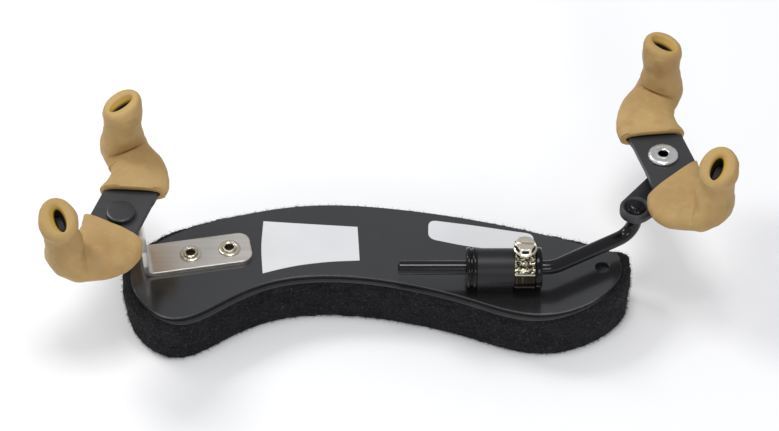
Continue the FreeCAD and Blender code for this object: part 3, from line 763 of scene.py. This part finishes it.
def make_foam(material):
    """The pad: the solid's form remeshed, its edges softened and its sides roughened."""
    pad = put("foam_work", mesh_of(welded("foam_pad"), "foam_block"))
    grid = pad.modifiers.new("grid", "REMESH")
    grid.mode = "VOXEL"
    grid.voxel_size = FOAM_GRID * MM
    soften = pad.modifiers.new("soften", "SMOOTH")
    soften.factor = 0.5
    soften.iterations = 9
    mesh = applied(pad)
    bpy.data.objects.remove(pad)
    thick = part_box("foam_pad")[1][2] / MM
    plate = surface_of("base_plate")
    places = []
    for spot, facing in [(vertex.co / MM, vertex.normal.copy()) for vertex in mesh.vertices]:
        level = spot.z / thick
        side = 1 - abs(facing.z)
        swell = noise.fractal(spot * 0.12, 0.6, 2.0, 3) * SWELL
        fuzz = noise.fractal(spot * 1.3, 0.5, 2.0, 3) * FUZZ
        spread = BACK_SPREAD * max(0.0, facing.y) * side * min(1.0, level) ** 2
        spot += facing * (swell * side * min(1.0, level + 0.3) + fuzz * (0.3 + side) + spread)
        if level > 0.75:
            beyond = plate.find_nearest(spot * MM)[3] / MM - PLATE_MARGIN
            front = min(1.0, max(0.0, 0.5 - facing.y * 2))
            share = front * min(1.0, max(0.0, beyond) / SHOULDER_WIDTH)
            spot.z -= SHOULDER_DROP * share * (level - 0.75) * 4
        places.extend((spot.x * MM, spot.y * MM, max(spot.z, 0.0) * MM))
    mesh.vertices.foreach_set("co", places)
    mesh.update()
    piece = piece_from(mesh, "foam_cushion", material, "base", ["foam_pad"])
    return piece


def nap_tree(material):
    """Geometry nodes: short loose fibres on a surface, each a thin three-sided spike."""
    tree = bpy.data.node_groups.new("foam_nap", "GeometryNodeTree")
    add, given, result = start_tree(tree, "Surface", NAP)
    scatter = add("GeometryNodeDistributePointsOnFaces", {"Mesh": given.outputs["Surface"],
                                                          "Density": given.outputs["Density"], "Seed": 11})
    spike = add("GeometryNodeMeshCone", {
        "Vertices": 3, "Radius Top": 0.0, "Radius Bottom": given.outputs["Fibre radius"],
        "Depth": given.outputs["Fibre length"]}, fill_type="NONE")
    least, most = [
        add("ShaderNodeVectorMath", {0: turns, "Scale": given.outputs["Spread"]}, operation="SCALE")
        for turns in ((-1.0, -1.0, -3.1), (1.0, 1.0, 3.1))]
    tilt = add("FunctionNodeRandomValue", {0: least.outputs[0], 1: most.outputs[0], "Seed": 5},
               data_type="FLOAT_VECTOR")
    tilted = add("FunctionNodeEulerToRotation", {0: tilt.outputs[0]})
    turned = add("FunctionNodeRotateRotation", {0: scatter.outputs["Rotation"], 1: tilted.outputs[0]},
                 rotation_space="LOCAL")
    size = add("FunctionNodeRandomValue", {2: 0.45, 3: 1.3, "Seed": 8}, data_type="FLOAT")
    spread = add("GeometryNodeInstanceOnPoints", {
        "Points": scatter.outputs["Points"], "Instance": spike.outputs[0], "Rotation": turned.outputs[0],
        "Scale": size.outputs[1]})
    end_tree(tree, add, spread, material, result)
    return tree


def make_nap(cushion, material):
    """Loose fibres over the sides and upper edge of the pad, where it was cut."""
    block = bmesh.new()
    block.from_mesh(cushion.data)
    plate = surface_of("base_plate")
    cut = [face for face in block.faces if face.normal.z < -0.93 or
           face.normal.z > 0.5 and plate.ray_cast(face.calc_center_median(), UP)[0]]
    bmesh.ops.delete(block, geom=cut, context="FACES")
    mesh = grown("nap_work", mesh_of(block, "cut_sides"), nap_tree(material), NAP)
    for vertex in mesh.vertices:
        vertex.co.z = max(vertex.co.z, NAP_FLOOR)
    piece_from(mesh, "foam_nap", material, "base", smooth=False)


# Small metal pieces, in millimetres

FLANGE_RADIUS = 3.1
FLANGE_HEIGHT = 0.8
RIVET_DENT = 0.10
EYE_RADIUS = 4.6
PACKED_EYE_RADIUS = 6.15
HEAD_HEIGHT = 2.3
HEX_HALF = 2.58
SIXTH = math.pi / 3
SLOT_WIDTH, SLOT_DEPTH, SLOT_TURN = 0.85, 0.95, math.radians(-6)
HEAD_STEPS = 72


def rivet_tree(material):
    """Geometry nodes: a hollow rivet's flange and rolled rim, set on every point."""
    tree = bpy.data.node_groups.new("hollow_rivets", "GeometryNodeTree")
    sizes = {"Flange radius": 2.45 * MM, "Flange width": 0.62 * MM, "Flange height": 0.30 * MM,
             "Rim radius": 1.58 * MM, "Rim roll": 0.36 * MM, "Bore radius": 1.22 * MM, "Bore depth": 4.3 * MM}
    add, given, result = start_tree(tree, "Points", sizes)

    def ring(radius, wide, tall, height):
        """A ring with an oval section, its middle at that height."""
        path = add("GeometryNodeCurvePrimitiveCircle", {"Resolution": 56, "Radius": given.outputs[radius]})
        oval = add("GeometryNodeCurvePrimitiveCircle", {"Resolution": 14, "Radius": 1.0})
        size = add("ShaderNodeCombineXYZ", {"X": wide, "Y": tall, "Z": 1.0})
        shaped = add("GeometryNodeTransform", {"Geometry": oval.outputs[0], "Scale": size.outputs[0]})
        swept = add("GeometryNodeCurveToMesh", {"Curve": path.outputs[0], "Profile Curve": shaped.outputs[0]})
        lift = add("ShaderNodeCombineXYZ", {"Z": height})
        return add("GeometryNodeTransform", {"Geometry": swept.outputs[0], "Translation": lift.outputs[0]})

    flange = ring("Flange radius", given.outputs["Flange width"], given.outputs["Flange height"], 0.18 * MM)
    rim = ring("Rim radius", given.outputs["Rim roll"], given.outputs["Rim roll"], 0.52 * MM)
    bore = add("GeometryNodeMeshCylinder", {"Vertices": 40, "Radius": given.outputs["Bore radius"],
                                            "Depth": given.outputs["Bore depth"]}, fill_type="NONE")
    sink = add("ShaderNodeMath", {0: given.outputs["Bore depth"], 1: -0.5}, operation="MULTIPLY")
    drop = add("ShaderNodeMath", {0: sink.outputs[0], 1: 0.5 * MM}, operation="ADD")
    down = add("ShaderNodeCombineXYZ", {"Z": drop.outputs[0]})
    bore = add("GeometryNodeTransform", {"Geometry": bore.outputs[0], "Translation": down.outputs[0]})
    wall = add("GeometryNodeFlipFaces", {"Mesh": bore.outputs[0]})
    whole = tree.nodes.new("GeometryNodeJoinGeometry")
    for part in (flange, rim, wall):
        tree.links.new(part.outputs[0], whole.inputs[0])
    spread = add("GeometryNodeInstanceOnPoints", {"Points": given.outputs["Points"],
                                                  "Instance": whole.outputs[0]})
    end_tree(tree, add, spread, material, result)
    return tree, sizes


def make_hollow_rivets(material):
    """The bracket's two rivets, on their places on the foot."""
    low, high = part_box("bracket_rivets")
    foot_top = high[2] - FLANGE_HEIGHT * MM
    inset = FLANGE_RADIUS * MM
    places = [(low[0] + inset, low[1] + inset, foot_top), (high[0] - inset, high[1] - inset, foot_top)]
    spots = bpy.data.meshes.new("rivet_places")
    spots.from_pydata(places, [], [])
    mesh = grown("rivet_work", spots, *rivet_tree(material))
    for vertex in mesh.vertices:
        spot = vertex.co / MM
        if spot.z > foot_top / MM + 0.35:
            vertex.co += noise.noise_vector(spot * 1.6) * (RIVET_DENT * MM)
    piece_from(mesh, "hollow_rivet_pair", material, "base", ["bracket_rivets"])


def make_fork_rivets(black, bright):
    """Left: black domed head. Right: bright head with a rolled rim round a small hole."""
    for name, material, body in (("left_fork_rivet", black, "base"), ("right_fork_rivet", bright, "link")):
        low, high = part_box(name)
        middle, bottom, top = span_of(name)
        radius = (high[0] - low[0]) / 2 / MM
        if name.startswith("left"):
            under = top - 1.5
            outline = [(0.02, bottom), (3.0, bottom), (3.0, bottom + 0.7), (1.9, bottom + 0.7), (1.9, under),
                       (radius - 0.25, under), (radius - 0.06, under + 0.12), (radius, under + 0.4),
                       (radius - 0.02, top - 0.45), (radius - 0.12, top - 0.2), (radius - 0.35, top - 0.06),
                       (radius - 0.8, top - 0.01), (radius - 2.0, top), (0.02, top)]
            mesh = turned_shell(name + "_head", outline, middle, HEAD_STEPS, 0.04)
        else:
            under = top - 1.2
            outline = [(1.35, bottom), (3.0, bottom), (3.0, bottom + 0.7), (1.9, bottom + 0.7), (1.9, under),
                       (radius - 0.15, under), (radius, under + 0.22), (radius - 0.06, under + 0.55),
                       (radius - 0.3, under + 0.85), (radius - 0.7, under + 1.05),
                       (radius - 1.3, under + 1.1), (2.4, under + 1.0), (2.05, under + 1.02),
                       (1.75, top - 0.02), (1.5, top - 0.1),
                       (1.32, under + 0.75), (1.25, under + 0.2), (1.2, bottom + 1.0), (0.02, bottom + 0.9)]
            # Painted shade in the hole: the rings inside the hole are marked dark.
            dark = [float(reach < 1.34) for reach, height in outline for k in range(HEAD_STEPS)]
            mesh = turned_shell(name + "_head", outline, middle, HEAD_STEPS, 0.07, shades={"shade": dark})
        piece_from(mesh, name + "_head", material, body, [name])


def make_clamp_screw(material):
    """Slotted hexagon head on a round flange, its corners chamfered round."""
    middle, bottom, top = span_of("clamp_screw")
    base = top - HEAD_HEIGHT
    steps = 96
    rows, shade = [], []
    profile = [("round", 1.5, bottom), ("round", 1.5, base), ("round", 3.05, base),
               ("round", 3.25, base + 0.15), ("round", 3.25, base + 0.45), ("round", 3.1, base + 0.6),
               ("round", 3.0, base + 0.66),
               ("hex", 2.6, base + 0.72), ("hex", HEX_HALF, base + 1.2), ("hex", HEX_HALF, base + 1.82),
               ("chamfer", 2.98, base + 1.95), ("chamfer", 2.8, base + 2.18), ("round", 2.56, base + 2.28),
               ("round", 2.4, top), ("round", 1.4, top), ("round", 0.02, top)]
    for kind, radius, height in profile:
        ring = []
        for k in range(steps):
            angle = 2 * math.pi * k / steps
            wedge = abs(angle % SIXTH - SIXTH / 2)
            reach = radius
            if kind == "hex":
                reach = radius / math.cos(wedge)
            elif kind == "chamfer":
                reach = min(HEX_HALF / math.cos(wedge), radius)
            # Painted shade on the hexagon's flats; the corners stay bright.
            shade.append(float(kind == "hex" and wedge < math.radians(22)))
            ring.append(middle + Vector((math.cos(angle) * reach, math.sin(angle) * reach, height)) * MM)
        rows.append(ring)
    blank = put("screw_work", skin_of_rings("screw_blank", rows, {"shade": shade}))
    bar = bmesh.new()
    bmesh.ops.create_cube(bar, size=1.0)
    bmesh.ops.scale(bar, vec=mm(9.0, SLOT_WIDTH, 2.0), verts=bar.verts)
    bmesh.ops.rotate(bar, cent=(0, 0, 0), matrix=Matrix.Rotation(SLOT_TURN, 3, "Z"), verts=bar.verts)
    bmesh.ops.translate(bar, vec=middle + UP * ((top + 1.0 - SLOT_DEPTH) * MM), verts=bar.verts)
    cutter = put("slot_cutter", mesh_of(bar, "slot_cutter"))
    cut = blank.modifiers.new("slot", "BOOLEAN")
    cut.operation = "DIFFERENCE"
    cut.solver = "EXACT"
    cut.object = cutter
    edge = blank.modifiers.new("edge", "BEVEL")
    edge.width = 0.12 * MM
    edge.segments = 2
    edge.limit_method = "ANGLE"
    edge.angle_limit = math.radians(40)
    finished = applied(blank)
    bpy.data.objects.remove(blank)
    bpy.data.objects.remove(cutter)
    piece_from(finished, "clamp_screw_head", material, "clamp_screw", ["clamp_screw"])
    finished.set_sharp_from_angle(angle=math.radians(35))


def make_link_stud(material):
    """The rod's end, staked over the link into an uneven cap."""
    middle, bottom, top = span_of("link_cap")
    outline = [(0.02, bottom), (2.6, bottom), (2.62, bottom + 0.2), (2.45, bottom + 0.42),
               (2.0, bottom + 0.55), (1.7, bottom + 0.5), (1.45, top - 0.3), (1.2, top - 0.08), (0.7, top),
               (0.02, top)]
    mesh = turned_shell("link_stud", outline, middle, 64, 0.14)
    piece_from(mesh, "link_stud", material, "rod", ["link_cap"])


def make_link(material):
    """The link as packed, its eye under the fork trimmed to what the fork covers."""
    shape = welded("pivot_link")
    eye = span_of("right_fork_rivet")[0]
    for vertex in shape.verts:
        reach = Vector((vertex.co.x - eye.x, vertex.co.y - eye.y, 0))
        if EYE_RADIUS * MM < reach.length < PACKED_EYE_RADIUS * MM:
            vertex.co += reach.normalized() * (EYE_RADIUS * MM - reach.length)
    mesh = mesh_of(shape, "trimmed_link")
    piece_from(mesh, "trimmed_link", material, "link", ["pivot_link"])
    mesh.set_sharp_from_angle(angle=math.radians(30))


def make_right_spacer(material):
    """The collar between the link and the right fork, a little waisted."""
    middle, bottom, top = span_of("right_fork_spacer")
    outline = [(1.95, bottom), (3.3, bottom), (3.45, bottom + 0.2), (3.3, bottom + 0.6),
               (3.2, (bottom + top) / 2), (3.3, top - 0.6), (3.45, top - 0.2), (3.3, top), (1.95, top)]
    mesh = turned_shell("right_fork_collar", outline, middle, 64, 0.03, joined=True)
    piece_from(mesh, "right_fork_collar", material, "link", ["right_fork_spacer"])


def make_liner(material):
    """The holder's liner and its end cap, turned about the rod: rounded flanges, a groove in the cap."""
    low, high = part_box("rod_liner")
    cap_low, cap_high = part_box("liner_cap")
    axis = Vector((0, (low[1] + high[1]) / 2, (low[2] + high[2]) / 2)) / MM
    radius = (high[1] - low[1]) / 2 / MM
    bore, barrel, steps = 2.06, 3.3, 80
    start, end = cap_low[0] / MM, high[0] / MM
    shoulder, cap_end = end - 2.0, cap_high[0] / MM
    liner = [(bore + 0.35, start + 0.02), (barrel, start + 0.02), (barrel, shoulder),
             (radius - 0.3, shoulder + 0.02), (radius - 0.08, shoulder + 0.12), (radius, shoulder + 0.4),
             (radius, end - 0.5), (radius - 0.14, end - 0.16), (radius - 0.5, end), (3.6, end),
             (3.1, end - 0.18), (2.7, end - 0.1), (bore + 0.25, end - 0.12), (bore, end - 0.4),
             (bore, start + 0.4)]
    cap = [(barrel + 0.02, start + 0.3), (barrel + 0.4, start), (radius - 0.55, start),
           (radius - 0.15, start + 0.14), (radius, start + 0.45), (radius, start + 1.05),
           (radius - 0.12, start + 1.2), (radius - 0.48, start + 1.3), (radius - 0.48, start + 1.7),
           (radius - 0.12, start + 1.8), (radius, start + 1.95), (radius, cap_end - 0.35),
           (radius - 0.1, cap_end - 0.1), (radius - 0.35, cap_end - 0.01), (barrel + 0.02, cap_end - 0.01)]
    turns = [heading(360 * k / steps) for k in range(steps)]
    for name, outline in (("rod_liner", liner), ("liner_cap", cap)):
        rings = [[(axis + Vector((along, turn.x * reach, turn.y * reach))) * MM for turn in turns]
                 for reach, along in outline]
        mesh = skin_of_rings(name + "_turned", rings, joined=True)
        piece_from(mesh, name + "_turned", material, "liner", [name])
        mesh.set_sharp_from_angle(angle=math.radians(50))


# Labels, in plate millimetres

LABEL_THICKNESS = 0.12
LEFT_LABEL = [(-32.3, 15.7), (-22.0, 14.8), (-5.8, 13.5), (-5.4, 6.5), (-5.1, 0.6), (-13.3, 0.2),
              (-21.6, -1.1), (-27.1, -2.6), (-31.9, -4.3), (-32.7, 5.8)]
LEFT_CORNERS = [0.15, 4, 0.15, 4, 0.15, 4, 4, 4, 0.15, 6]
RIGHT_LABEL = [(14.2, 16.2), (27.7, 13.9), (36.2, 12.1), (43.6, 10.7), (43.3, 3.7), (36.0, 4.2),
               (24.6, 6.0), (14.0, 9.0)]
RIGHT_CORNERS = [2.4, 4, 4, 2.2, 2.2, 4, 4, 2.4]


def smooth_loop(corners, radii, steps=8):
    """A closed outline through corners, each rounded by its radius."""
    loop = []
    spots = [Vector(corner) for corner in corners]
    sides = zip(spots[-1:] + spots[:-1], spots, spots[1:] + spots[:1])
    for (previous, here, following), radius in zip(sides, radii):
        before, after = previous - here, following - here
        reach = min(radius, before.length * 0.45, after.length * 0.45)
        start = here + before.normalized() * reach
        end = here + after.normalized() * reach
        for n in range(steps + 1):
            t = n / steps
            loop.append(start * (1 - t) ** 2 + here * (2 * t * (1 - t)) + end * t ** 2)
    return loop


def make_label(name, corners, radii, material):
    """A bare label: a thin sheet stuck on the plate, its edge just standing proud."""
    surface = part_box("base_plate")[1][2]
    loop = smooth_loop(corners, radii)
    sheet = bmesh.new()
    low, high = [[sheet.verts.new((spot.x * MM, spot.y * MM, level)) for spot in loop]
                 for level in (surface, surface + LABEL_THICKNESS * MM)]
    for k in range(len(loop)):
        sheet.faces.new((low[k - 1], low[k], high[k], high[k - 1]))
    sheet.faces.new(high)
    sheet.faces.new(low)
    bmesh.ops.recalc_face_normals(sheet, faces=sheet.faces)
    bmesh.ops.triangulate(sheet, faces=[face for face in sheet.faces if len(face.verts) > 4])
    piece_from(mesh_of(sheet, name), name, material, "base", smooth=False)


# The whole part

place_camera()
light_the_table()
lay_floor()

finishes = {
    "base_plate": satin_black_steel(),
    "left_fork": fork_black_steel(),
    "left_bracket": brushed_nickel(),
    "holder_sleeve": matte_holder_rubber(),
    "rod_liner": gloss_black(),
    "bent_rod": enamelled_rod(),
    "clamp_band": crumpled_nickel(),
    "adhesive_sheet": grey_adhesive(),
}
same_finish = {
    "right_fork": "left_fork", "pivot_link": "left_fork", "left_fork_spacer": "left_fork",
    "right_fork_spacer": "left_fork", "link_washer": "rod_liner", "liner_cap": "rod_liner",
    "clamp_nut": "clamp_band", "holder_saddle": "holder_sleeve", "saddle_rivets": "left_bracket",
}
for name, node in nodes.items():
    source = same_finish.get(name, name)
    if source in finishes:
        node.data.materials.clear()
        node.data.materials.append(finishes[source])

make_sleeves(latex_rubber())
felt = felted_foam()
make_nap(make_foam(felt), felt)
make_hollow_rivets(rivet_nickel())
make_fork_rivets(black_rivet_steel(), pressed_aluminium())
make_clamp_screw(champagne_nickel())
make_link_stud(finishes["rod_liner"])
make_link(finishes["left_fork"])
make_right_spacer(finishes["left_fork"])
make_liner(finishes["rod_liner"])
paper = label_paper()
make_label("left_label", LEFT_LABEL, LEFT_CORNERS, paper)
make_label("right_label", RIGHT_LABEL, RIGHT_CORNERS, paper)
